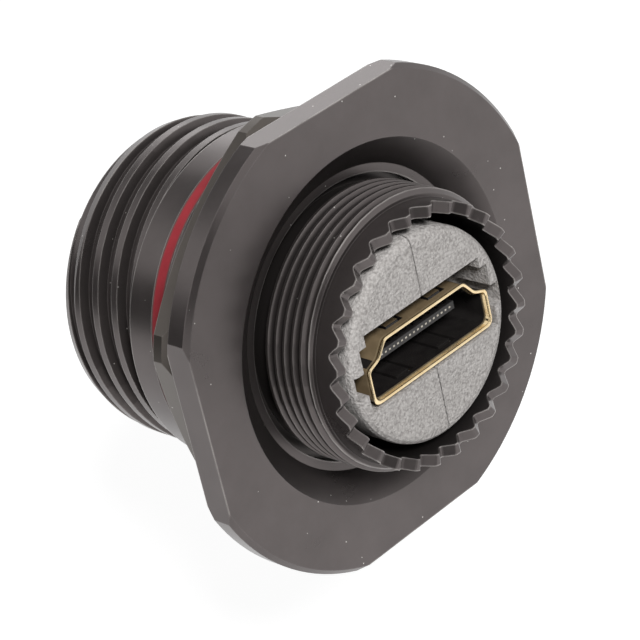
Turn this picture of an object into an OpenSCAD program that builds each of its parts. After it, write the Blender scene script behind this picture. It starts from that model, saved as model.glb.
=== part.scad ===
// Round panel connector with a video socket in its rear end.
// A turned aluminium shell sits in a panel hole and is drawn up by a jam nut. Its two-half
// insert clamps a small circuit board with a socket on each end, so a cable plugs in at the
// back and the mating connector plugs in at the front.
// The axis runs along Y: the rear socket and the accessory thread face -Y, the mating thread
// faces +Y. The origin is on the axis, in the flange's mounting face. +Z is the narrow side
// of both sockets. All sizes are millimetres.

/* [Flange] */
// Thickness of the flange
flange_t = 2.7; // [2.4:0.1:4]
// How far the flange's round corners stand out past its four flats
flange_corner = 1.7; // [0.8:0.1:3]
// Bevel on the rim of the round corners
flange_edge = 0.45; // [0.1:0.05:0.6]
// Width of the flat floor of the dished recess, outside the pit
recess_floor_w = 0.83; // [0.4:0.01:1.2]
// Width of the recess's sloping wall
recess_slope_w = 2.6; // [1.4:0.1:3.2]
// Depth of the recess
recess_depth = 2.2; // [1.2:0.1:2.6]
// Distance from the panel thread to the seal's groove
seal_gap = 1.3; // [1:0.05:2]
// Distance from the seal's groove to the flange's flats
seal_land = 1.6; // [1.2:0.1:2.4]
// Thickness of the panel seal's round section
seal_section = 1.78; // [1.4:0.02:1.9]
// Share of the seal's section that lies inside its groove
seal_sink = 0.76; // [0.6:0.01:0.85]

/* [Panel thread and nut] */
// Diameter of the panel thread's crests
panel_thread_d = 32; // [31.4:0.1:34]
// Step from the neck up to the panel thread's crest
neck_step = 0.4; // [0.36:0.02:0.6]
// Length of the panel thread in front of the mounting face
panel_thread_len = 6.3; // [5.6:0.1:8]
// Distance from one crest of the panel thread to the next
panel_pitch = 1; // [0.8:0.05:1.2]
// Depth of the panel thread
panel_depth = 0.34; // [0.24:0.02:0.34]
// Length of the relief between the mounting face and the panel thread
panel_relief = 1.1; // [1.05:0.05:1.4]
// Free space between the mounting face and the nut
nut_gap = 1.5; // [0.6:0.1:2]
// Thickness of the nut
nut_t = 3.9; // [3.7:0.1:4.2]
// Wall of the nut between its thread and its flats
nut_wall = 2.3; // [2:0.1:2.8]
// How far the nut's turned corners stand out past its flats
nut_corner = 2.2; // [1.8:0.1:2.4]
// Slope of the cone on the nut's front side, in degrees
nut_slope = 30; // [25:1:30]
// How far that cone reaches in past the flats
nut_cone_in = 0.9; // [0.6:0.1:1]
// Length of the bevel on the rear side of the nut's corners
nut_break = 1.1; // [0.6:0.1:1.2]
// How far that bevel reaches in
nut_break_in = 0.8; // [0.4:0.1:1]
// Bevel at both ends of the nut's bore
nut_bore_bevel = 0.4; // [0.2:0.05:0.6]
// Turn of the nut's corners from the flange's flats, in degrees
nut_turn = 18.5; // [0:0.5:59.5]
// Radial clearance between the nut and its thread
nut_clear = 0.06; // [0.04:0.01:0.1]

/* [Neck and mating thread] */
// Wall from the front bore out to the mating thread's crest
mating_wall = 2.38; // [2.2:0.02:2.8]
// Length of the neck
neck_len = 6; // [5:0.1:9]
// Width of the red mating band
band_w = 1.35; // [0.8:0.05:2]
// Distance from the panel thread's end to the band
band_gap = 1.8; // [1:0.1:2.8]
// Thickness of the band's paint in its groove
band_t = 0.1; // [0.05:0.01:0.2]
// Length of the threaded front end
mating_len = 10.2; // [7:0.1:12]
// Distance from one crest to the next
mating_pitch = 2.54; // [2.2:0.01:3]
// Number of thread starts
mating_starts = 3; // [2:1:4]
// Width of a crest
mating_crest = 0.8; // [0.5:0.05:1]
// Depth of the thread
mating_depth = 0.85; // [0.5:0.05:0.95]
// Slope of the thread's flanks, in degrees
mating_flank = 20; // [10:1:25]
// Taper of the front end, across the radius
front_taper = 0.75; // [0.3:0.05:0.8]
// Length of the front end's taper
front_taper_len = 2.2; // [0.8:0.1:3]

/* [Rear barrel] */
// Length of the barrel behind the flange
barrel_len = 6.46; // [6:0.02:9]
// Step from the tooth ring up to the accessory thread's crest
accessory_step = 0.79; // [0.66:0.01:1]
// Bevel on the accessory thread's end
accessory_bevel = 0.47; // [0.2:0.01:0.6]
// Distance from one crest of the accessory thread to the next
accessory_pitch = 1; // [0.8:0.05:1.3]
// Depth of the accessory thread
accessory_depth = 0.5; // [0.3:0.02:0.54]
// Step from the accessory thread's root down to the relief
relief_step = 0.1; // [0.04:0.02:0.2]
// Width of the pit round the relief, in the recess floor
pit_w = 0.97; // [0.8:0.01:1.3]
// Depth of the pit
pit_depth = 1.1; // [0.5:0.1:1.6]
// Plain height between the recess floor and the thread
relief_h = 0.6; // [0.3:0.1:1]
// Wall of the tooth ring round the rear bore
tooth_wall = 1.06; // [0.9:0.02:1.4]
// Length of the tooth ring
tooth_ring_len = 2.52; // [1.8:0.02:3.2]
// Number of teeth
tooth_count = 28; // [20:1:32]
// Depth of the gaps between the teeth, to the point where their flanks would meet
tooth_depth = 1.1; // [0.6:0.05:1.3]
// Width of a tooth's tip before it is softened
tooth_tip = 0.46; // [0.4:0.02:0.6]
// Share of a tip's width that its softened edges take up
tip_soft = 0.6; // [0.2:0.05:0.65]
// Length of the curve that softens the bottom of a gap
root_curve = 0.4; // [0.1:0.05:0.6]

/* [Bores] */
// Gap between the insert and the rear bore
rear_bore_gap = 1.05; // [0.6:0.05:1.4]
// Depth of the rear bore in front of the mounting face
rear_bore_end = 2; // [0:0.1:4]
// Floor of the front bore, in front of the mounting face
front_bore_floor = 8; // [7.4:0.1:9]
// Depth of the keyways in the bore's wall
keyway_depth = 0.6; // [0.3:0.05:0.7]
// Width of the main keyway
main_keyway_w = 3.2; // [2:0.1:4]
// Width of each lesser keyway
lesser_keyway_w = 1.6; // [1:0.1:2]
// Plain bore between the retaining ring and the keyways
keyway_lead = 0.8; // [0.4:0.1:2]

/* [Insert] */
// Wall of the insert outside its side notches
insert_wall = 0.35; // [0.3:0.05:0.8]
// Rounding of the insert's rear rim
insert_round = 0.8; // [0.2:0.05:1]
// How far the insert's rear face lies inside the tooth tips
insert_sink = 0.46; // [0.1:0.02:1]
// Clearance between the insert and the shell
insert_clear = 0.08; // [0.05:0.01:0.15]
// Thickness of the insert's collar
collar_t = 2; // [1.5:0.1:3]
// Diameter of the insert's front boss
boss_d = 21.4; // [20.6:0.1:22]
// Gap between the insert's front boss and the retaining ring
boss_gap = 0.8; // [0.4:0.1:1.2]
// Gap between the insert's two halves
split_gap = 0.16; // [0.06:0.02:0.24]
// Thickness of the retaining ring
ring_t = 1; // [0.8:0.1:1.4]
// How far the retaining ring stands out of its groove into the bore
ring_reach = 1.2; // [0.9:0.1:1.5]
// Depth of the ring's groove in the bore's wall
ring_groove = 0.7; // [0.4:0.05:0.9]
// Opening of the ring, in degrees
ring_opening = 40; // [20:1:60]

/* [Insert opening] */
// Gap beside the socket in the rear opening
opening_side = 0.6; // [0.3:0.05:0.8]
// Gap at the socket's wide side
opening_low = 0.4; // [0.25:0.05:0.6]
// Gap at the socket's narrow side
opening_high = 1.5; // [1:0.05:1.7]
// How far each upper corner of the opening steps in
opening_step = 0.85; // [0.4:0.05:1.2]
// Height of the opening's upper step
opening_step_h = 1.05; // [0.6:0.05:1.4]
// Reach of the two side notches past the opening
notch_reach = 1.1; // [0.6:0.05:1.4]
// Height of the side notches
notch_h = 2.1; // [1.2:0.05:2.4]
// Middle of the side notches above the axis
notch_rise = -0.3; // [-0.6:0.05:0.2]
// Depth of the opening
opening_depth = 5; // [3:0.1:6]

/* [Sockets] */
// Inside width of a socket at its wide side
mouth_w = 14.5; // [14:0.05:14.8]
// Inside height of a socket
mouth_h = 4.6; // [4.3:0.05:4.8]
// Height of the straight ends, from the wide side
mouth_end_h = 2.8; // [2.4:0.05:3]
// How far each shoulder lies in from the straight end below it
shoulder_in = 1.225; // [0.9:0.025:1.5]
// How far each end of the narrow side lies in from the shoulder below it
narrow_in = 1.075; // [0.7:0.025:1.4]
// Rise of each shoulder from the straight ends
shoulder_rise = 0.45; // [0.3:0.05:0.7]
// Length of each softened corner at the narrow side and the shoulders
corner_len = 0.38; // [0.2:0.02:0.5]
// Length of each softened corner at the wide side
base_corner_len = 0.8; // [0.4:0.05:1]
// Thickness of the socket's sheet metal
sheet = 0.3; // [0.2:0.01:0.35]
// How far the lip flares out
lip_flare = 0.12; // [0.05:0.01:0.2]
// Length of the flared lip
lip_len = 0.4; // [0.2:0.05:0.6]
// Clearance between a socket and the insert
pocket_clear = 0.08; // [0.05:0.01:0.12]
// Drop of the sockets' middle below the axis
socket_drop = 0.15; // [0:0.05:0.3]
// How far the rear socket's rim lies inside the insert's face
rim_sink = 0; // [0:0.02:0.4]
// Length of a socket from its rim to its back
socket_len = 8.2; // [7.5:0.1:8.4]
// Width of the spring fingers in the sheet
finger_w = 1.5; // [1:0.1:2]
// Length of the spring fingers
finger_len = 3.6; // [2.4:0.1:4]
// Width of the slits round the fingers
slit_w = 0.35; // [0.2:0.05:0.5]
// Distance of the fingers from the socket's middle
finger_off = 2.7; // [2:0.1:3]
// Distance of the fingers' free ends from the rim
finger_setback = 1.1; // [0.7:0.1:1.6]

/* [Contacts and board] */
// Number of contacts in a socket
contact_count = 19; // [11:1:19]
// Distance between neighbouring contacts
contact_pitch = 0.515; // [0.48:0.005:0.53]
// Width of a contact
contact_w = 0.22; // [0.16:0.01:0.3]
// Thickness of a contact
contact_t = 0.12; // [0.1:0.01:0.2]
// Clearance beside a contact in its slot
contact_clear = 0.02; // [0.01:0.01:0.04]
// Height of a contact's turned tip
tip_h = 0.16; // [0.12:0.02:0.3]
// Length of a contact's turned tip
tip_len = 0.4; // [0.3:0.05:0.8]
// How far the tongue is wider than the row of contacts, on each side
tongue_edge = 0.45; // [0.2:0.05:0.7]
// Distance of the tongue's front edge from the rim
tongue_setback = 1.9; // [1.2:0.1:2.5]
// Rise of the tongue's middle above the socket's middle
tongue_rise = 0.15; // [0:0.05:0.5]
// Thickness of the housing's back wall
housing_wall = 2.4; // [1.6:0.1:3]
// Clearance between the housing and the sheet metal
housing_clear = 0.04; // [0.02:0.01:0.08]
// Gap on the board between the tails of the two sockets' contacts
tail_gap = 0.86; // [0.4:0.02:1.6]
// How far the circuit board is wider than the tongue, on each side
board_edge = 0.8; // [0.2:0.1:1.2]
// Thickness of the circuit board
board_t = 0.5; // [0.4:0.05:0.8]

/* [Hidden] */
$fn = 96;
// Overlap that lets a cut reach past the surface it opens
past = 0.5;
// Facets to a turn of a thread, to a softened corner of a socket and to the bead of its rim
turn_steps = 40;
corner_steps = 6;
bead_steps = 6;
// Facets to a tooth's softened edges and to the bottom of a gap
tip_steps = 3;
root_steps = 4;
// Angle between the points of the insert's rounded rim, in degrees
round_step = 30;
// Width of a fine thread's groove at its mouth and at its root, as shares of the pitch
groove_share = 0.7;
root_share = 0.15;
// How far a fine thread's cutter stands out of the crests
cutter_over = 0.1;
// How far it runs out past the thread's ends, as a share of the pitch
run_out = 0.47;
// How far the mating thread's cutter reaches into the core that bounds it
core_over = 0.2;
// Angles at which the accessory thread, the panel thread and the mating thread start
accessory_start = 17;
panel_start = 31.7;
mating_start = 14;
// Places of the lesser keyways round the bore, from the main one, in degrees
keyway_angles = [80, 142, 196, 293];

// Places along the axis
rear_face_y = -flange_t;
rear_end_y = rear_face_y - barrel_len;
recess_floor_y = rear_face_y + recess_depth;
pit_floor_y = recess_floor_y + pit_depth;
thread_front_y = recess_floor_y - relief_h;
thread_rear_y = rear_end_y + tooth_ring_len;
neck_end_y = panel_thread_len + neck_len;
front_end_y = neck_end_y + mating_len;
band_y = panel_thread_len + band_gap;
insert_face_y = rear_end_y + insert_sink;
collar_front_y = front_bore_floor + collar_t;
ring_groove_y = collar_front_y;
ring_groove_len = ring_t + 2 * insert_clear;
insert_front_y = ring_groove_y + ring_groove_len;
rear_mouth_y = insert_face_y + rim_sink;
front_mouth_y = insert_front_y - rim_sink;
keyway_y = insert_front_y + keyway_lead;

// Diameters of the rear end from the inside out: each is the one before it and the wall or gap between
opening_half_w = mouth_w / 2 + sheet + opening_side;
insert_d = 2 * (opening_half_w + notch_reach + insert_wall);
rear_bore_d = insert_d + 2 * rear_bore_gap;
tooth_ring_d = rear_bore_d + 2 * tooth_wall;
accessory_d = tooth_ring_d + 2 * accessory_step;
relief_d = accessory_d - 2 * accessory_depth - 2 * relief_step;
pit_d = relief_d + 2 * pit_w;
recess_floor_d = pit_d + 2 * recess_floor_w;
recess_d = recess_floor_d + 2 * recess_slope_w;

// Diameters of the front end, from the insert's boss outwards
ring_d = boss_d + 2 * boss_gap;
front_bore_d = ring_d + 2 * ring_reach;
mating_d = front_bore_d + 2 * mating_wall;

// Diameters of the neck, the flange and the nut, from the panel thread
neck_d = panel_thread_d - 2 * neck_step;
seal_groove_w = seal_section * 1.12;
seal_d = panel_thread_d + 2 * seal_gap + seal_groove_w;
flange_flats = seal_d + seal_groove_w + 2 * seal_land;
flange_d = flange_flats + 2 * flange_corner;
nut_flats = panel_thread_d + 2 * nut_wall;
nut_corner_d = nut_flats + 2 * nut_corner;
nut_face_d = nut_flats - 2 * nut_cone_in;

// Other sizes of threads, teeth and seal
mating_lead = mating_pitch * mating_starts;
mating_root_r = mating_d / 2 - mating_depth;
tooth_pitch = PI * (tooth_ring_d + rear_bore_d) / 2 / tooth_count;
// Length of the curve on each edge of a tip, and how far its cutter stands clear of the tips there
tip_curve = tooth_tip / 2 * tip_soft;
tip_lift = tip_curve / 10;
seal_groove_depth = seal_section * seal_sink;

// Socket sizes that follow from the driving ones
shoulder_w = mouth_w - 2 * shoulder_in;
mouth_narrow_w = shoulder_w - 2 * narrow_in;
socket_z = -socket_drop;
tongue_z = socket_z + tongue_rise;
tongue_t = board_t + 2 * contact_t;
tongue_w = (contact_count - 1) * contact_pitch + contact_w + 2 * tongue_edge;
board_w = tongue_w + 2 * board_edge;
socket_half_h = mouth_h / 2 + sheet;
board_y = rear_mouth_y + socket_len;
board_len = front_mouth_y - rear_mouth_y - 2 * socket_len;
tail_len = (board_len - tail_gap) / 2;

function two_digits(i) = i < 10 ? str("0", i) : str(i);
function contact_name(row, i) = str(row, "_contact_", two_digits(i));

// Outline helpers

// Each corner of a closed outline pushed outwards by d, for points in anticlockwise order
function grown(points, d) = [
    for (i = [0 : len(points) - 1])
        let (
            n = len(points),
            before = points[i] - points[(i + n - 1) % n],
            after = points[(i + 1) % n] - points[i],
            n1 = [before[1], -before[0]] / norm(before),
            n2 = [after[1], -after[0]] / norm(after)
        )
        points[i] + d * (n1 + n2) / (1 + n1 * n2)
];

// The curve that softens a corner p, from a length d before it to a length d after it
function corner_curve(before, p, after, d, steps) =
    let (
        a = p + (before - p) / norm(before - p) * d,
        b = p + (after - p) / norm(after - p) * d
    )
    [
        for (k = [0 : steps])
            let (s = k / steps)
            a * (1 - s) * (1 - s) + p * 2 * s * (1 - s) + b * s * s
    ];

// Each corner of a closed outline softened, with a length for each
function softened(points, lengths) = [
    for (i = [0 : len(points) - 1])
        let (
            n = len(points),
            before = points[(i + n - 1) % n],
            after = points[(i + 1) % n]
        )
        for (q = corner_curve(before, points[i], after, lengths[i], corner_steps))
            q
];

// The left half of an outline added to its right half
function mirrored(right) = concat(right, [for (i = [len(right) - 1 : -1 : 0]) [-right[i][0], right[i][1]]]);

// A socket's section, grown by d from its inside: wide side low, narrow side high
function socket_section(d) = softened(grown(mirrored([
    [mouth_w / 2, -mouth_h / 2],
    [mouth_w / 2, -mouth_h / 2 + mouth_end_h],
    [shoulder_w / 2, -mouth_h / 2 + mouth_end_h + shoulder_rise],
    [mouth_narrow_w / 2, mouth_h / 2]
]), d), [for (i = [0 : 7]) i % 7 == 0 ? base_corner_len : corner_len]);

// The opening in the insert's rear face: a step at each upper corner, a notch at each end
function opening_outline() =
    let (
        side = opening_half_w,
        low = socket_z - socket_half_h - opening_low,
        high = socket_z + socket_half_h + opening_high
    )
    mirrored([
        [side, low],
        [side, notch_rise - notch_h / 2],
        [side + notch_reach, notch_rise - notch_h / 2],
        [side + notch_reach, notch_rise + notch_h / 2],
        [side, notch_rise + notch_h / 2],
        [side, high - opening_step_h],
        [side - opening_step, high - opening_step_h],
        [side - opening_step, high]
    ]);

// Faces of a solid skinned over rings of n points, with the last ring closed to the first
function ring_faces(rings, n) = [
    for (j = [0 : rings - 1], i = [0 : n - 1])
        let (
            j2 = (j + 1) % rings,
            i2 = (i + 1) % n
        )
        for (t = [[j * n + i, j * n + i2, j2 * n + i2], [j * n + i, j2 * n + i2, j2 * n + i]])
            t
];

// Turns a shape made round Z onto the connector's axis
module on_axis() {
    rotate([-90, 0, 0])
        children();
}

// A flat outline in X and Z made a block from y0 to y1
module slab(y0, y1) {
    translate([0, y1, 0])
        rotate([90, 0, 0])
            linear_extrude(y1 - y0)
                children();
}

// A round groove cutter: a trapezoid swept along a right-hand helix up to z
module helix_groove(z, lead, turns, root_r, outer_r, root_w, outer_w) {
    steps = ceil(turns * turn_steps);
    section = [[root_r, -root_w / 2], [outer_r, -outer_w / 2], [outer_r, outer_w / 2], [root_r, root_w / 2]];
    points = [
        for (i = [0 : steps], c = section)
            let (turn = turns * (i / steps - 1))
            [c[0] * cos(360 * turn), c[0] * sin(360 * turn), c[1] + z + lead * turn]
    ];
    last = 4 * steps;
    sides = [
        for (i = [0 : steps - 1], c = [0 : 3])
            let (
                a = 4 * i + c,
                b = 4 * i + (c + 1) % 4
            )
            for (t = [[a, b, b + 4], [a, b + 4, a + 4]])
                t
    ];
    caps = [[2, 1, 0], [3, 2, 0], [last, last + 1, last + 2], [last, last + 2, last + 3]];
    polyhedron(points, concat(sides, caps), convexity = 10);
}

// The cutter of a fine V thread that runs from z0 to z1
module fine_groove(z0, z1, crest_r, depth, pitch) {
    slope = pitch * (groove_share - root_share) / depth;
    helix_groove(
        z1 + run_out * pitch, pitch, (z1 - z0) / pitch + 2 * run_out, crest_r - depth, crest_r + cutter_over,
        pitch * root_share, pitch * groove_share + cutter_over * slope
    );
}

// The shell

// The plain turned form behind the mating thread, with the flange's flats cut
module shell_blank() {
    intersection() {
        rotate_extrude()
            polygon([
                [0, rear_end_y],
                [tooth_ring_d / 2, rear_end_y],
                [tooth_ring_d / 2, thread_rear_y],
                [accessory_d / 2 - accessory_bevel, thread_rear_y],
                [accessory_d / 2, thread_rear_y + accessory_bevel],
                [accessory_d / 2, thread_front_y],
                [relief_d / 2, thread_front_y],
                [relief_d / 2, pit_floor_y],
                [pit_d / 2, pit_floor_y],
                [pit_d / 2, recess_floor_y],
                [recess_floor_d / 2, recess_floor_y],
                [recess_d / 2, rear_face_y],
                [flange_d / 2 - flange_edge, rear_face_y],
                [flange_d / 2, rear_face_y + flange_edge],
                [flange_d / 2, -flange_edge],
                [flange_d / 2 - flange_edge, 0],
                [neck_d / 2, 0],
                [neck_d / 2, panel_relief - neck_step],
                [panel_thread_d / 2, panel_relief],
                [panel_thread_d / 2, panel_thread_len - neck_step],
                [neck_d / 2, panel_thread_len],
                [neck_d / 2, neck_end_y],
                [0, neck_end_y]
            ]);
        translate([0, 0, (rear_end_y + neck_end_y) / 2])
            cube([flange_flats, flange_flats, neck_end_y - rear_end_y + past], center = true);
    }
}

// The threaded front end: a tapered cylinder with one helical groove for each start
module mating_thread() {
    difference() {
        rotate_extrude()
            polygon([
                [0, neck_end_y - past],
                [mating_d / 2, neck_end_y - past],
                [mating_d / 2, front_end_y - front_taper_len],
                [mating_d / 2 - front_taper, front_end_y],
                [0, front_end_y]
            ]);
        mating_grooves();
    }
}

// The cutter of the mating thread: helical grooves that a round core keeps to their depth
module mating_grooves() {
    groove_w = mating_pitch - mating_crest;
    slope = tan(mating_flank);
    reach = mating_len + 2 * mating_pitch;
    difference() {
        union() {
            for (s = [0 : mating_starts - 1])
                rotate([0, 0, mating_start + 360 * s / mating_starts])
                    helix_groove(
                        front_end_y + mating_pitch, mating_lead, reach / mating_lead,
                        mating_root_r - core_over, mating_d / 2 + past,
                        groove_w - 2 * (mating_depth + core_over) * slope, groove_w + 2 * past * slope
                    );
        }
        translate([0, 0, neck_end_y - 3 * mating_pitch])
            cylinder(h = mating_len + 6 * mating_pitch, r = mating_root_r);
    }
}

// All that is bored out of the shell from both ends
module shell_bores() {
    web_r = insert_d / 2 + insert_clear;
    rotate_extrude()
        polygon([
            [0, rear_end_y - past],
            [rear_bore_d / 2, rear_end_y - past],
            [rear_bore_d / 2, rear_bore_end],
            [web_r, rear_bore_end],
            [web_r, front_bore_floor],
            [front_bore_d / 2, front_bore_floor],
            [front_bore_d / 2, front_end_y + past],
            [0, front_end_y + past]
        ]);
    translate([0, 0, ring_groove_y])
        cylinder(h = ring_groove_len, r = front_bore_d / 2 + ring_groove);
    keyway(-90, main_keyway_w);
    for (a = keyway_angles)
        keyway(a - 90, lesser_keyway_w);
}

// One straight keyway in the front bore's wall
module keyway(angle, w) {
    rotate([0, 0, angle])
        translate([front_bore_d / 4, -w / 2, keyway_y])
            cube([front_bore_d / 4 + keyway_depth, w, front_end_y - keyway_y + past]);
}

// The outline of a gap between two teeth: soft edges at the tips and a soft bottom
function gap_outline() =
    let (
        edge = [(tooth_pitch - tooth_tip) / 2, 0],
        bottom = [0, tooth_depth],
        out = [edge[0] + tip_curve, -tip_lift],
        tip = corner_curve(out, edge, bottom, tip_curve, tip_steps),
        root = corner_curve(edge, bottom, [-edge[0], edge[1]], root_curve, root_steps),
        side = concat([[out[0], -past]], tip)
    )
    concat(side, root, [for (i = [len(side) - 1 : -1 : 0]) [-side[i][0], side[i][1]]]);

// One gap between two teeth, cut across the ring's wall
module tooth_gap() {
    translate([rear_bore_d / 2 - past, 0, rear_end_y])
        rotate([90, 0, 90])
            linear_extrude(tooth_wall + 2 * past)
                polygon(gap_outline());
}

// A ring with a plain square section, made round Z
module square_ring(z, h, inner_r, outer_r) {
    translate([0, 0, z])
        rotate_extrude()
            translate([inner_r, 0])
                square([outer_r - inner_r, h]);
}

module receptacle_shell() {
    color("#4a4340")
        on_axis()
            difference() {
                union() {
                    shell_blank();
                    mating_thread();
                }
                shell_bores();
                rotate([0, 0, accessory_start])
                    fine_groove(thread_rear_y, thread_front_y, accessory_d / 2, accessory_depth, accessory_pitch);
                rotate([0, 0, panel_start])
                    fine_groove(panel_relief, panel_thread_len, panel_thread_d / 2, panel_depth, panel_pitch);
                square_ring(band_y, band_w, neck_d / 2 - band_t, neck_d / 2 + past);
                square_ring(
                    -seal_groove_depth, seal_groove_depth + past, (seal_d - seal_groove_w) / 2,
                    (seal_d + seal_groove_w) / 2
                );
                for (i = [0 : tooth_count - 1])
                    rotate([0, 0, (i + 0.5) * 360 / tooth_count])
                        tooth_gap();
            }
}

// Paint that fills a shallow groove round the neck
module mating_band() {
    color("#a52d37")
        on_axis()
            square_ring(band_y, band_w, neck_d / 2 - band_t, neck_d / 2);
}

// Round-section seal in the flange's mounting face
module panel_seal() {
    color("#1c1b1b")
        on_axis()
            translate([0, 0, seal_section / 2 - seal_groove_depth])
                rotate_extrude()
                    translate([seal_d / 2, 0])
                        circle(d = seal_section);
}

// Hexagon nut: its corners are turned away to a cone in front and to a bevel behind
module jam_nut() {
    front_y = nut_gap + nut_t;
    cone_h = (nut_corner + nut_cone_in) * tan(nut_slope);
    bore_r = panel_thread_d / 2 + nut_clear;
    color("#453e3b")
        on_axis()
            difference() {
                intersection() {
                    rotate([0, 0, nut_turn])
                        translate([0, 0, nut_gap])
                            cylinder(h = nut_t, d = nut_flats / cos(30), $fn = 6);
                    rotate_extrude()
                        polygon([
                            [0, nut_gap],
                            [nut_corner_d / 2 - nut_break_in, nut_gap],
                            [nut_corner_d / 2, nut_gap + nut_break],
                            [nut_corner_d / 2, front_y - cone_h],
                            [nut_face_d / 2, front_y],
                            [0, front_y]
                        ]);
                }
                rotate_extrude()
                    polygon([
                        [0, nut_gap - past],
                        [bore_r + nut_bore_bevel + past, nut_gap - past],
                        [bore_r, nut_gap + nut_bore_bevel],
                        [bore_r, front_y - nut_bore_bevel],
                        [bore_r + nut_bore_bevel + past, front_y + past],
                        [0, front_y + past]
                    ]);
            }
}

// The insert

// Both halves together, before they are parted
module insert_body() {
    round_r = insert_d / 2 - insert_round;
    round_y = insert_face_y + insert_round;
    rim = [for (a = [0 : round_step : 90]) [round_r + insert_round * sin(a), round_y - insert_round * cos(a)]];
    difference() {
        on_axis()
            rotate_extrude()
                polygon(concat(
                    [[0, insert_face_y]],
                    rim,
                    [
                        [insert_d / 2, front_bore_floor],
                        [front_bore_d / 2 - insert_clear, front_bore_floor],
                        [front_bore_d / 2 - insert_clear, collar_front_y],
                        [boss_d / 2, collar_front_y],
                        [boss_d / 2, insert_front_y],
                        [0, insert_front_y]
                    ]
                ));
        slab(insert_face_y - past, insert_face_y + opening_depth)
            polygon(opening_outline());
        translate([0, 0, socket_z]) {
            slab(insert_face_y, insert_front_y + past)
                polygon(socket_section(sheet + pocket_clear));
            slab(front_mouth_y - lip_len - pocket_clear, insert_front_y + past)
                polygon(socket_section(sheet + lip_flare + pocket_clear));
        }
    }
}

// The half on one side of the split, for side -1 or 1
module insert_half(side) {
    reach = front_bore_d;
    color("#9a9693")
        intersection() {
            insert_body();
            translate([side * (reach + split_gap) / 2, (insert_face_y + insert_front_y) / 2, 0])
                cube([reach, insert_front_y - insert_face_y + past, 2 * reach], center = true);
        }
}

module insert_half_left() {
    insert_half(-1);
}

module insert_half_right() {
    insert_half(1);
}

// Open spring ring that holds the insert's collar against the bore's floor
module retaining_ring() {
    color("#8d8f92")
        on_axis()
            rotate([0, 0, 90 + ring_opening / 2])
                translate([0, 0, ring_groove_y + insert_clear])
                    rotate_extrude(angle = 360 - ring_opening)
                        translate([ring_d / 2, 0])
                            square([front_bore_d / 2 + ring_groove - insert_clear - ring_d / 2, ring_t]);
}

// Circuit board between the two sockets
module coupler_board() {
    color("#2f5d3a")
        translate([-board_w / 2, board_y, tongue_z - board_t / 2])
            cube([board_w, board_len, board_t]);
}

// The sockets, each made with its rim at Y = 0 and its depth along +Y

// Sets a socket's piece at the rear end or, turned about, at the front end
module at_end(row) {
    if (row == "rear")
        translate([0, rear_mouth_y, 0])
            children();
    else
        translate([0, front_mouth_y, 0])
            mirror([0, 1, 0])
                children();
}

// The flared rim of the sheet metal: a round bead and the two edges behind it, skinned over
module socket_lip() {
    bead = [
        for (k = [0 : bead_steps])
            let (a = 180 * k / bead_steps)
            [lip_flare + sheet / 2 * (1 - cos(a)), sheet / 2 * (1 - sin(a))]
    ];
    edges = concat(bead, [[sheet, lip_len], [0, lip_len]]);
    count = len(socket_section(0));
    points = [for (e = edges, p = socket_section(e[0])) [p[0], e[1], p[1]]];
    polyhedron(points, ring_faces(len(edges), count), convexity = 6);
}

// The slit on three sides of one spring finger, seen square on
module finger_slit() {
    difference() {
        translate([-finger_w / 2 - slit_w, -slit_w])
            square([finger_w + 2 * slit_w, finger_len + slit_w]);
        translate([-finger_w / 2, 0])
            square([finger_w, finger_len + past]);
    }
}

// Sheet metal folded round the socket, with two spring fingers in each broad side
module socket_shell(row) {
    color("#d9b978")
        at_end(row)
            translate([0, 0, socket_z])
                difference() {
                    union() {
                        socket_lip();
                        slab(lip_len, socket_len)
                            difference() {
                                polygon(socket_section(sheet));
                                polygon(socket_section(0));
                            }
                    }
                    for (x = [-finger_off, finger_off], z = [-1, 1])
                        translate([x, finger_setback + slit_w, z * mouth_h / 2 - sheet - past])
                            linear_extrude(2 * (sheet + past))
                                finger_slit();
                }
}

// Side view of one contact, in depth and height: a turned tip, a riser and a long blade
function contact_profile() =
    let (
        blade_z = board_t / 2,
        riser = tongue_setback + tip_len
    )
    [
        [tongue_setback, -tip_h / 2],
        [riser + contact_t, -tip_h / 2],
        [riser + contact_t, blade_z],
        [socket_len + tail_len, blade_z],
        [socket_len + tail_len, blade_z + contact_t],
        [riser, blade_z + contact_t],
        [riser, tip_h / 2],
        [tongue_setback, tip_h / 2]
    ];

// Contact i of a socket, w wide: the odd ones lie on top of the tongue, the even ones under it
module contact_form(i, w) {
    x = (i - (contact_count + 1) / 2) * contact_pitch;
    translate([x - w / 2, 0, tongue_z])
        mirror([0, 0, i % 2 == 1 ? 0 : 1])
            rotate([90, 0, 90])
                linear_extrude(w)
                    polygon(contact_profile());
}

module contact(row, i) {
    color("#e3cf9a")
        at_end(row)
            contact_form(i, contact_w);
}

// Moulded back wall and tongue, with a slot for every contact
module socket_housing(row) {
    back_y = socket_len - housing_wall;
    color("#1d1c1e")
        at_end(row)
            difference() {
                union() {
                    translate([0, 0, socket_z])
                        slab(back_y, socket_len)
                            polygon(socket_section(-housing_clear));
                    translate([-tongue_w / 2, tongue_setback, tongue_z - tongue_t / 2])
                        cube([tongue_w, back_y - tongue_setback + past, tongue_t]);
                }
                for (i = [1 : contact_count])
                    contact_form(i, contact_w + 2 * contact_clear);
            }
}

module rear_socket_shell() {
    socket_shell("rear");
}

module rear_socket_housing() {
    socket_housing("rear");
}

module front_socket_shell() {
    socket_shell("front");
}

module front_socket_housing() {
    socket_housing("front");
}

receptacle_shell();
mating_band();
panel_seal();
jam_nut();
insert_half_left();
insert_half_right();
retaining_ring();
coupler_board();
rear_socket_shell();
rear_socket_housing();
front_socket_shell();
front_socket_housing();
for (row = ["rear", "front"], i = [1 : contact_count])
    contact(row, i);
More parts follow.
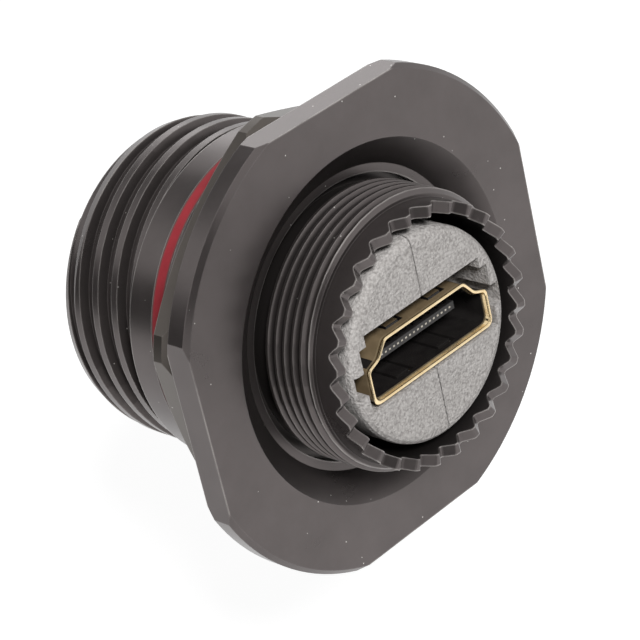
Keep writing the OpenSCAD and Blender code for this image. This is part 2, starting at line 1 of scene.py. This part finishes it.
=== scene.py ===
import bpy
import mathutils
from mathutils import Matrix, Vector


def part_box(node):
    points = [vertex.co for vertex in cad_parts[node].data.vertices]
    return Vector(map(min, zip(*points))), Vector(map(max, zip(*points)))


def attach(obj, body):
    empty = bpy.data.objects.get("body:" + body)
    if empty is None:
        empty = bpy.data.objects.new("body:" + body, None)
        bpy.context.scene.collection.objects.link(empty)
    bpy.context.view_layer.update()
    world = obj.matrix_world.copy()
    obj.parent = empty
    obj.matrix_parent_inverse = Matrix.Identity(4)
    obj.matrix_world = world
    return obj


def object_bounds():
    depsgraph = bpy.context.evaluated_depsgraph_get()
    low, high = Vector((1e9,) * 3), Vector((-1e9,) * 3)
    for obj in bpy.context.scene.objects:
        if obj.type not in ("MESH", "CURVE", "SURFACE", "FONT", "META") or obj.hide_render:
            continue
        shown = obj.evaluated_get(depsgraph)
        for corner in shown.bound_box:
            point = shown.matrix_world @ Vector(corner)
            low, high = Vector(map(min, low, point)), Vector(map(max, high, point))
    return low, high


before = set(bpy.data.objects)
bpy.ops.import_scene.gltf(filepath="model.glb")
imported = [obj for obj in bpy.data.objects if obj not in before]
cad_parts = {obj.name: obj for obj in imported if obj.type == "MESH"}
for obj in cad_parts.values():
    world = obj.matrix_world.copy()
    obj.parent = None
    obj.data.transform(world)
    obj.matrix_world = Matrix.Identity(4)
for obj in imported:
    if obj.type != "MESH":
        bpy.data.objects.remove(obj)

cad_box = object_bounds()


# Receptacle shell: one bar of aluminium, turned on a lathe and hard anodised to a dark bronze.
# The lathe leaves fine rings round the axis, and the finish is satin with a faint mottle.
# Its outer edges are painted pale, partly as rubbed wear and partly as painted highlight, its hollows get painted
# shade, and handling has dropped a few specks of dust.
def new_finish(name):
    """An empty procedural finish: its material, node tree and surface shader."""
    finish = bpy.data.materials.new(name)
    finish.use_nodes = True
    tree = finish.node_tree
    return finish, tree, tree.nodes["Principled BSDF"]


def dress(finish, *node_names):
    """Gives solids of the connector their finish."""
    for node_name in node_names:
        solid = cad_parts[node_name]
        if not solid.data.materials:
            solid.data.materials.append(finish)
        for place in solid.material_slots:
            place.material = finish


def feed(tree, value, socket):
    """Gives a socket another node's result, or a plain number or colour."""
    if isinstance(value, bpy.types.NodeSocket):
        tree.links.new(value, socket)
    else:
        socket.default_value = (*value, 1) if socket.type == "RGBA" else value


def object_place(tree):
    """Object coordinates, so that a pattern stays on its piece."""
    return tree.nodes.new("ShaderNodeTexCoord").outputs["Object"]


def noise(tree, place, scale, detail=2.0, rough=0.5):
    """Soft cloudy noise, with about scale clouds to the metre."""
    clouds = tree.nodes.new("ShaderNodeTexNoise")
    clouds.inputs["Scale"].default_value = scale
    clouds.inputs["Detail"].default_value = detail
    clouds.inputs["Roughness"].default_value = rough
    tree.links.new(place, clouds.inputs["Vector"])
    return clouds.outputs["Fac"]


def cells(tree, place, scale):
    """A pattern of cells: its distance and colour results."""
    pattern = tree.nodes.new("ShaderNodeTexVoronoi")
    pattern.inputs["Scale"].default_value = scale
    tree.links.new(place, pattern.inputs["Vector"])
    return pattern.outputs["Distance"], pattern.outputs["Color"]


def sum_of(tree, operation, *values):
    """One step of arithmetic on results or plain numbers."""
    step = tree.nodes.new("ShaderNodeMath")
    step.operation = operation
    for value, socket in zip(values, step.inputs):
        feed(tree, value, socket)
    return step.outputs[0]


def spread(tree, value, low, high, start=0.0, end=1.0):
    """A value that runs from start to end, spread between two limits."""
    span = tree.nodes.new("ShaderNodeMapRange")
    span.inputs["From Min"].default_value = start
    span.inputs["From Max"].default_value = end
    span.inputs["To Min"].default_value = low
    span.inputs["To Max"].default_value = high
    tree.links.new(value, span.inputs["Value"])
    return span.outputs["Result"]


def ramp(tree, value, low, high, at=(0.3, 0.7)):
    """A blend between two colours along a value."""
    blend = tree.nodes.new("ShaderNodeValToRGB")
    for stop, position, colour in zip(blend.color_ramp.elements, at, (low, high)):
        stop.position = position
        stop.color = (*colour, 1)
    tree.links.new(value, blend.inputs["Fac"])
    return blend.outputs["Color"]


def laid_over(tree, mask, under, over):
    """A colour laid over another one where a mask is 1."""
    mix = tree.nodes.new("ShaderNodeMix")
    mix.data_type = "RGBA"
    tree.links.new(mask, mix.inputs["Factor"])
    feed(tree, under, mix.inputs["A"])
    feed(tree, over, mix.inputs["B"])
    return mix.outputs["Result"]


def relief(tree, shader, height, strength, depth, edge=None):
    """Fine relief on the surface, depth metres high, with its sharp edges eased by a small radius."""
    bump = tree.nodes.new("ShaderNodeBump")
    bump.inputs["Strength"].default_value = strength
    bump.inputs["Distance"].default_value = depth
    tree.links.new(height, bump.inputs["Height"])
    tree.links.new(bump.outputs["Normal"], shader.inputs["Normal"])
    if edge:
        eased = tree.nodes.new("ShaderNodeBevel")
        eased.samples = 6
        eased.inputs["Radius"].default_value = edge
        tree.links.new(eased.outputs["Normal"], bump.inputs["Normal"])


def new_marks(name, *results):
    """An empty group of marks that several finishes share: its tree, its place and its results."""
    marks = bpy.data.node_groups.new(name, "ShaderNodeTree")
    marks.interface.new_socket("Place", in_out="INPUT", socket_type="NodeSocketVector")
    for result in results:
        marks.interface.new_socket(result, in_out="OUTPUT", socket_type="NodeSocketFloat")
    place = marks.nodes.new("NodeGroupInput").outputs["Place"]
    return marks, place, marks.nodes.new("NodeGroupOutput").inputs


def marked(tree, marks):
    """A group of marks put into a finish: its results."""
    group = tree.nodes.new("ShaderNodeGroup")
    group.node_tree = marks
    tree.links.new(object_place(tree), group.inputs["Place"])
    return group.outputs


# Lathe marks: rings that change with the radius and along the axis, and hardly round it.
lathe_marks, place, results = new_marks("lathe_marks", "Rings", "Mottle")
apart = lathe_marks.nodes.new("ShaderNodeSeparateXYZ")
lathe_marks.links.new(place, apart.inputs[0])
across = lathe_marks.nodes.new("ShaderNodeCombineXYZ")
lathe_marks.links.new(apart.outputs["X"], across.inputs["X"])
lathe_marks.links.new(apart.outputs["Z"], across.inputs["Z"])
radius = lathe_marks.nodes.new("ShaderNodeVectorMath")
radius.operation = "LENGTH"
lathe_marks.links.new(across.outputs[0], radius.inputs[0])
unrolled = lathe_marks.nodes.new("ShaderNodeCombineXYZ")
lathe_marks.links.new(radius.outputs["Value"], unrolled.inputs["X"])
lathe_marks.links.new(apart.outputs["Y"], unrolled.inputs["Y"])
lathe_marks.links.new(noise(lathe_marks, unrolled.outputs[0], 9000, 3), results["Rings"])
lathe_marks.links.new(noise(lathe_marks, place, 170, 5, 0.6), results["Mottle"])


# Handling and light marks: outer edges painted pale, partly rubbed wear and partly painted highlight; painted shade
# darkening the hollows; and a few specks of dust.
edge_wear_and_highlight = 0.0002
hollow_reach = 0.003
speck_radius = 0.09
bare_cells = 0.9
handling_and_light_marks, place, results = new_marks("handling_and_light_marks", "RubbedAndHighlit", "Dust", "HollowShade")


def crowding(tree, distance, inside):
    """How open the room is outside a surface, or inside it, within a distance."""
    room = tree.nodes.new("ShaderNodeAmbientOcclusion")
    room.inside = inside
    room.samples = 8
    room.inputs["Distance"].default_value = distance
    return room.outputs["AO"]


# Partly rubbed wear, partly painted highlight: convex edges, found by crowding inside the solid, are made pale.
edges = spread(handling_and_light_marks, crowding(handling_and_light_marks, edge_wear_and_highlight, True), 0.0, 1.0, 0.88, 0.5)
patches = spread(handling_and_light_marks, noise(handling_and_light_marks, place, 320, 3), 0.35, 1.0, 0.3, 0.65)
handling_and_light_marks.links.new(sum_of(handling_and_light_marks, "MULTIPLY", edges, patches), results["RubbedAndHighlit"])
from_speck, cell_colour = cells(handling_and_light_marks, place, 1500)
near_speck = sum_of(handling_and_light_marks, "LESS_THAN", from_speck, speck_radius)
cell_draw = handling_and_light_marks.nodes.new("ShaderNodeSeparateColor")
handling_and_light_marks.links.new(cell_colour, cell_draw.inputs["Color"])
few_cells = sum_of(handling_and_light_marks, "GREATER_THAN", cell_draw.outputs["Red"], bare_cells)
handling_and_light_marks.links.new(sum_of(handling_and_light_marks, "MULTIPLY", near_speck, few_cells), results["Dust"])
# Painted shade: surfaces crowded by other surfaces within hollow_reach are darkened, as shade falls in hollows.
hollows = spread(handling_and_light_marks, crowding(handling_and_light_marks, hollow_reach, False), 0.0, 1.0, 0.75, 0.25)
handling_and_light_marks.links.new(hollows, results["HollowShade"])


def anodised(name, dark, light):
    """Dark bronze anodised aluminium between two shades, with lathe marks, dust, pale edges that are partly rubbed wear
    and partly painted highlight, and painted shade in its hollows.
    """
    hollow_shade, rubbed_and_highlight, dust = (0.048, 0.043, 0.041), (0.40, 0.375, 0.36), (0.62, 0.60, 0.57)
    finish, tree, shader = new_finish(name)
    turned = marked(tree, lathe_marks)
    handled_and_lit = marked(tree, handling_and_light_marks)
    shade = ramp(tree, turned["Mottle"], dark, light)
    # Painted shade: the hollows take a near-black colour.
    shade = laid_over(tree, handled_and_lit["HollowShade"], shade, hollow_shade)
    # Partly rubbed wear, partly painted highlight: outer edges take a pale colour.
    shade = laid_over(tree, handled_and_lit["RubbedAndHighlit"], shade, rubbed_and_highlight)
    shade = laid_over(tree, handled_and_lit["Dust"], shade, dust)
    tree.links.new(shade, shader.inputs["Base Color"])
    tree.links.new(spread(tree, turned["Mottle"], 0.25, 0.32), shader.inputs["Roughness"])
    shader.inputs["Metallic"].default_value = 0.8
    relief(tree, shader, turned["Rings"], 0.25, 0.000006, edge=0.00012)
    return finish


dress(anodised("shell_anodise", (0.096, 0.084, 0.082), (0.118, 0.103, 0.101)), "receptacle_shell")


# Mating band: a stripe of red paint in a shallow groove round the neck.
# It shows when the coupling nut of the mating plug is fully home.
# The paint thins out towards both edges of the groove.
band_paint, tree, shader = new_finish("band_paint")
place = object_place(tree)


def from_middle(tree, place, rear, front):
    """The distance along the axis from the middle between two places on it."""
    apart = tree.nodes.new("ShaderNodeSeparateXYZ")
    tree.links.new(place, apart.inputs[0])
    return sum_of(tree, "ABSOLUTE", sum_of(tree, "SUBTRACT", apart.outputs["Y"], (rear + front) / 2))


band_rear, band_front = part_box("mating_band")[0][1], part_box("mating_band")[1][1]
band_half = (band_front - band_rear) / 2
raggedness = 0.0002
streak = noise(tree, place, 420, 4)
aside = sum_of(tree, "MULTIPLY_ADD", streak, raggedness, from_middle(tree, place, band_rear, band_front))
thin = spread(tree, aside, 0.0, 1.0, band_half - 0.0002, band_half + 0.00012)
thin.node.interpolation_type = "SMOOTHSTEP"
red = ramp(tree, streak, (0.235, 0.020, 0.028), (0.33, 0.032, 0.042))
tree.links.new(laid_over(tree, thin, red, (0.085, 0.070, 0.066)), shader.inputs["Base Color"])
tree.links.new(spread(tree, streak, 0.5, 0.62), shader.inputs["Roughness"])
shader.inputs["Specular IOR Level"].default_value = 0.25
relief(tree, shader, streak, 0.2, 0.00001)
dress(band_paint, "mating_band")


# Contacts: stamped strips in two staggered rows, with tips turned onto the tongue's edge.
# They are flash plated, so they look pale rather than deep gold, and are pressed into the housings.
contact_plating, tree, shader = new_finish("contact_plating")
stamped = noise(tree, object_place(tree), 3000)
tree.links.new(ramp(tree, stamped, (0.36, 0.33, 0.28), (0.50, 0.47, 0.41)), shader.inputs["Base Color"])
tree.links.new(spread(tree, stamped, 0.2, 0.35), shader.inputs["Roughness"])
shader.inputs["Metallic"].default_value = 1.0
dress(contact_plating, *[node_name for node_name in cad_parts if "_contact_" in node_name])


# Socket housings: the back wall and tongue of each socket, moulded in one from black polymer.
# The glass fibres in it leave a dull skin with faint flow marks.
def moulded(name, grain, shades, roughness, height, at=(0.3, 0.7)):
    """Black moulded stuff: its grain to the metre, its two shades, its roughness limits and its relief."""
    finish, tree, shader = new_finish(name)
    skin = noise(tree, object_place(tree), *grain)
    tree.links.new(ramp(tree, skin, *shades, at), shader.inputs["Base Color"])
    tree.links.new(spread(tree, skin, *roughness), shader.inputs["Roughness"])
    relief(tree, shader, skin, height, 0.00001)
    return finish


socket_polymer = moulded("socket_polymer", (1500, 4), ((0.022, 0.021, 0.021), (0.036, 0.034, 0.034)), (0.4, 0.6), 0.15)
dress(socket_polymer, "rear_socket_housing", "front_socket_housing")


# Socket shells: sheet brass folded to a D and plated with gold, with a rolled bright rim.
# The plating keeps its bright colour on the rim; its walls get painted shade, brown on the drawn walls outside and
# nearly black inside, and are made less metallic.
socket_plating, tree, shader = new_finish("socket_plating")
place = object_place(tree)
drawn = noise(tree, place, 900, 3)
rear_rim, front_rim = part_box("rear_socket_shell")[0][1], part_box("front_socket_shell")[1][1]
rim_half = (front_rim - rear_rim) / 2
at_rim = spread(tree, from_middle(tree, place, rear_rim, front_rim), 0.0, 1.0, rim_half - 0.0006, rim_half - 0.0003)
# A wall is an outside one where its normal points away from the axis, judged mostly by height.
from_axis = tree.nodes.new("ShaderNodeVectorMath")
from_axis.operation = "MULTIPLY"
from_axis.inputs[1].default_value = (0.35, 0, 1)
tree.links.new(place, from_axis.inputs[0])
faces_out = tree.nodes.new("ShaderNodeVectorMath")
faces_out.operation = "DOT_PRODUCT"
tree.links.new(from_axis.outputs[0], faces_out.inputs[0])
tree.links.new(tree.nodes.new("ShaderNodeTexCoord").outputs["Normal"], faces_out.inputs[1])
outside = sum_of(tree, "GREATER_THAN", faces_out.outputs["Value"], 0.0018)
bright = ramp(tree, drawn, (0.76, 0.58, 0.33), (0.88, 0.72, 0.46))
# Painted shade: darkened copies of the plating for the outside walls and the inside walls.
outer_wall_shade = ramp(tree, drawn, (0.19, 0.140, 0.082), (0.25, 0.185, 0.108))
inner_wall_shade = ramp(tree, drawn, (0.016, 0.014, 0.014), (0.024, 0.022, 0.021))
shaded_walls = laid_over(tree, outside, inner_wall_shade, outer_wall_shade)
tree.links.new(laid_over(tree, at_rim, shaded_walls, bright), shader.inputs["Base Color"])
tree.links.new(spread(tree, drawn, 0.16, 0.30), shader.inputs["Roughness"])
tree.links.new(spread(tree, at_rim, 0.3, 1.0), shader.inputs["Metallic"])
shader.inputs["Specular IOR Level"].default_value = 0.2
relief(tree, shader, drawn, 0.1, 0.00001, edge=0.00005)
dress(socket_plating, "rear_socket_shell", "front_socket_shell")


# Coupler board: a small circuit board of green glass laminate, with the weave just showing.
# The contacts' tails are soldered to both its sides, so it joins the two sockets back to back.
board_laminate, tree, shader = new_finish("board_laminate")
weave = tree.nodes.new("ShaderNodeTexChecker")
weave.inputs["Scale"].default_value = 1800
tree.links.new(object_place(tree), weave.inputs["Vector"])
green = ramp(tree, weave.outputs["Fac"], (0.012, 0.075, 0.030), (0.018, 0.095, 0.040), (0.0, 1.0))
tree.links.new(green, shader.inputs["Base Color"])
shader.inputs["Roughness"].default_value = 0.4
dress(board_laminate, "coupler_board")


# Insert: two printed halves of grey polymer powder, clamped round the sockets.
# The grains of the fused powder leave a sandy skin with dark pits and pale crumbs.
insert_polymer, tree, shader = new_finish("insert_polymer")
place = object_place(tree)
crumbs = cells(tree, place, 4200)[0]
sandy = sum_of(tree, "MULTIPLY_ADD", crumbs, -0.35, noise(tree, place, 3600, 3, 0.6))
grey = ramp(tree, sandy, (0.275, 0.260, 0.250), (0.475, 0.455, 0.440), (0.12, 0.50))
tree.links.new(grey, shader.inputs["Base Color"])
shader.inputs["Roughness"].default_value = 0.85
shader.inputs["Specular IOR Level"].default_value = 0.3
relief(tree, shader, sandy, 1.0, 0.00013)
dress(insert_polymer, "insert_half_left", "insert_half_right")


# Joint films: near-black sheets in the joint between the insert's halves, painted shade for its dark split line; one
# lies above the sockets and one below them, and each is hollow at its two ends.
# Painted shade: the films' near-black colour stands for the shade in the split.
joint_shade_fill = moulded("joint_shade_fill", (2400, 3), ((0.012, 0.012, 0.012), (0.026, 0.025, 0.025)), (0.55, 0.75), 0.2)
hollow_rim, hollow_depth = 0.00004, 0.00015


def joint_film(name, low, high):
    """A film that fills the joint between two corners and is hollow at its rear and front ends."""
    bpy.ops.object.select_all(action="DESELECT")
    bpy.ops.mesh.primitive_cube_add(size=1, location=[(a + b) / 2 for a, b in zip(low, high)])
    film = bpy.context.object
    film.name = name
    film.scale = [b - a for a, b in zip(low, high)]
    bpy.ops.object.transform_apply(location=True, rotation=True, scale=True)
    for end in (-1, 1):
        bpy.ops.object.mode_set(mode="EDIT")
        bpy.ops.mesh.select_mode(type="FACE")
        bpy.ops.mesh.select_all(action="DESELECT")
        bpy.ops.object.mode_set(mode="OBJECT")
        for face in film.data.polygons:
            face.select = face.normal.y * end > 0.9
        bpy.ops.object.mode_set(mode="EDIT")
        bpy.ops.mesh.inset(thickness=hollow_rim, depth=-hollow_depth)
        bpy.ops.object.mode_set(mode="OBJECT")
    film.data.materials.append(joint_shade_fill)
    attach(film, "receptacle")


joint_left, joint_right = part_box("insert_half_left")[1][0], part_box("insert_half_right")[0][0]
socket_bottom, socket_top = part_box("front_socket_shell")[0][2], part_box("front_socket_shell")[1][2]
film_rear, film_front = -0.0036, 0.0105
film_reach = 0.00958
joint_film("joint_film_upper", (joint_left, film_rear, socket_top), (joint_right, film_front, film_reach))
joint_film("joint_film_lower", (joint_left, film_rear, -film_reach), (joint_right, film_front, socket_bottom))


# Retaining ring: spring steel wire of square section, bent to an open ring and hardened.
# It is sprung into the groove of the bore in front of the insert, and keeps the insert from coming out.
ring_steel, tree, shader = new_finish("ring_steel")
turned = marked(tree, lathe_marks)
tree.links.new(ramp(tree, turned["Mottle"], (0.36, 0.36, 0.37), (0.50, 0.50, 0.51)), shader.inputs["Base Color"])
tree.links.new(spread(tree, turned["Rings"], 0.25, 0.4), shader.inputs["Roughness"])
shader.inputs["Metallic"].default_value = 1.0
relief(tree, shader, turned["Rings"], 0.3, 0.000008)
dress(ring_steel, "retaining_ring")


# Panel seal: a moulded ring of black rubber, pressed into the groove in the mounting face.
# Its skin is matt, with a trace of moulding dust.
seal_shades = ((0.010, 0.010, 0.011), (0.030, 0.029, 0.029))
dress(moulded("seal_rubber", (1600, 4), seal_shades, (0.5, 0.75), 0.3, (0.35, 0.8)), "panel_seal")


# Jam nut: milled hexagon stock with its corners turned off to a cone in front and a bevel behind.
# It is anodised with the shell, but comes out a shade darker, and it is screwed onto the panel thread last.
dress(anodised("nut_anodise", (0.090, 0.079, 0.070), (0.108, 0.095, 0.086)), "jam_nut")


# Studio: a pale floor under the connector, a white surround, one soft lamp, and cards that only the
# metal's reflections see. The camera stands behind the connector, above it and to its left.
scene = bpy.context.scene
scene.view_settings.view_transform = "Standard"


def white_to_eye(tree, shade):
    """Full white to the camera and in reflections, and a plain lit shade to everything else."""
    rays = tree.nodes.new("ShaderNodeLightPath").outputs
    total = rays["Is Camera Ray"]
    for kind in ("Is Glossy Ray", "Is Transmission Ray"):
        total = sum_of(tree, "ADD", total, rays[kind])
        total.node.use_clamp = True
    return spread(tree, total, shade, 1.0)


world = bpy.data.worlds.new("white_surround")
world.use_nodes = True
scene.world = world
sky = world.node_tree.nodes["Background"]
sky.inputs["Color"].default_value = (1, 1, 1, 1)
world.node_tree.links.new(white_to_eye(world.node_tree, 0.18), sky.inputs["Strength"])

floor_drop = 0.03
bpy.ops.object.select_all(action="DESELECT")
bpy.ops.mesh.primitive_plane_add(size=6, location=(0, 0, cad_box[0][2] - floor_drop))
floor = bpy.context.object
floor.name = "studio_floor"
floor_paper, tree, shader = new_finish("floor_paper")
shader.inputs["Base Color"].default_value = (0.4, 0.4, 0.4, 1)
shader.inputs["Roughness"].default_value = 0.9
shader.inputs["Specular IOR Level"].default_value = 0.0
shader.inputs["Emission Color"].default_value = (1, 1, 1, 1)
floor_glow = sum_of(tree, "MULTIPLY", white_to_eye(tree, 0.0), 0.9)
tree.links.new(floor_glow, shader.inputs["Emission Strength"])
floor.data.materials.append(floor_paper)

lamp = bpy.data.lights.new("key_lamp", "AREA")
lamp.shape = "DISK"
lamp.size = 0.16
lamp.energy = 4.2
lamp_stand = bpy.data.objects.new("key_lamp", lamp)
scene.collection.objects.link(lamp_stand)
lamp_stand.location = (-0.218, -0.413, 0.377)
lamp_stand.rotation_euler = (-lamp_stand.location).to_track_quat("-Z", "Y").to_euler()
lamp_stand.visible_glossy = False


def card(name, place, width, height, lies=False):
    """A card, standing or lying, that only reflections see: its surface shader."""
    bpy.ops.object.select_all(action="DESELECT")
    bpy.ops.mesh.primitive_plane_add(size=1)
    sheet = bpy.context.object
    sheet.name = name
    sheet.scale = (width, height, 1)
    sheet.location = place
    if not lies:
        sheet.rotation_euler = mathutils.Vector(place).to_track_quat("Z", "Y").to_euler()
    paper, tree, shader = new_finish(name + "_card")
    sheet.data.materials.append(paper)
    sheet.visible_camera = False
    sheet.visible_shadow = False
    sheet.visible_diffuse = False
    return shader


# Black cards keep the white surround out of the metal, and a bright one lights its upper edges.
on_floor = floor.location.z + 0.002
for shader in (
    card("left_flag", (-0.36, 0.33, 0.03), 0.6, 0.26),
    card("camera_flag", (-0.28, -0.34, 0.23), 0.45, 0.30),
    card("low_flag", (-0.235, -0.195, on_floor), 0.37, 0.31, lies=True),
    card("rear_flag", (0.02, -0.275, on_floor), 0.13, 0.33, lies=True),
    card("front_flag", (-0.06, 0.30, 0.36), 0.30, 0.16),
):
    shader.inputs["Base Color"].default_value = (0.03, 0.03, 0.03, 1)
    shader.inputs["Roughness"].default_value = 1.0
shader = card("bright_panel", (0.45, 0.53, 0.31), 0.42, 0.18)
shader.inputs["Base Color"].default_value = (0, 0, 0, 1)
shader.inputs["Emission Color"].default_value = (1, 1, 1, 1)
shader.inputs["Emission Strength"].default_value = 2.6

camera = bpy.data.cameras.new("photo_camera")
camera.sensor_width = 36
camera.lens = 150.5
camera.clip_start = 0.01
camera.clip_end = 10
tripod = bpy.data.objects.new("photo_camera", camera)
scene.collection.objects.link(tripod)
right = mathutils.Vector((0.681, -0.7032, -0.204)).normalized()
back = mathutils.Vector((-0.569, -0.6837, 0.457)).normalized()
up = back.cross(right).normalized()
right = up.cross(back)
turn = mathutils.Matrix((right, up, back)).transposed()
tripod.matrix_world = mathutils.Matrix.Translation((-0.13532, -0.15752, 0.10719)) @ turn.to_4x4()
scene.camera = tripod
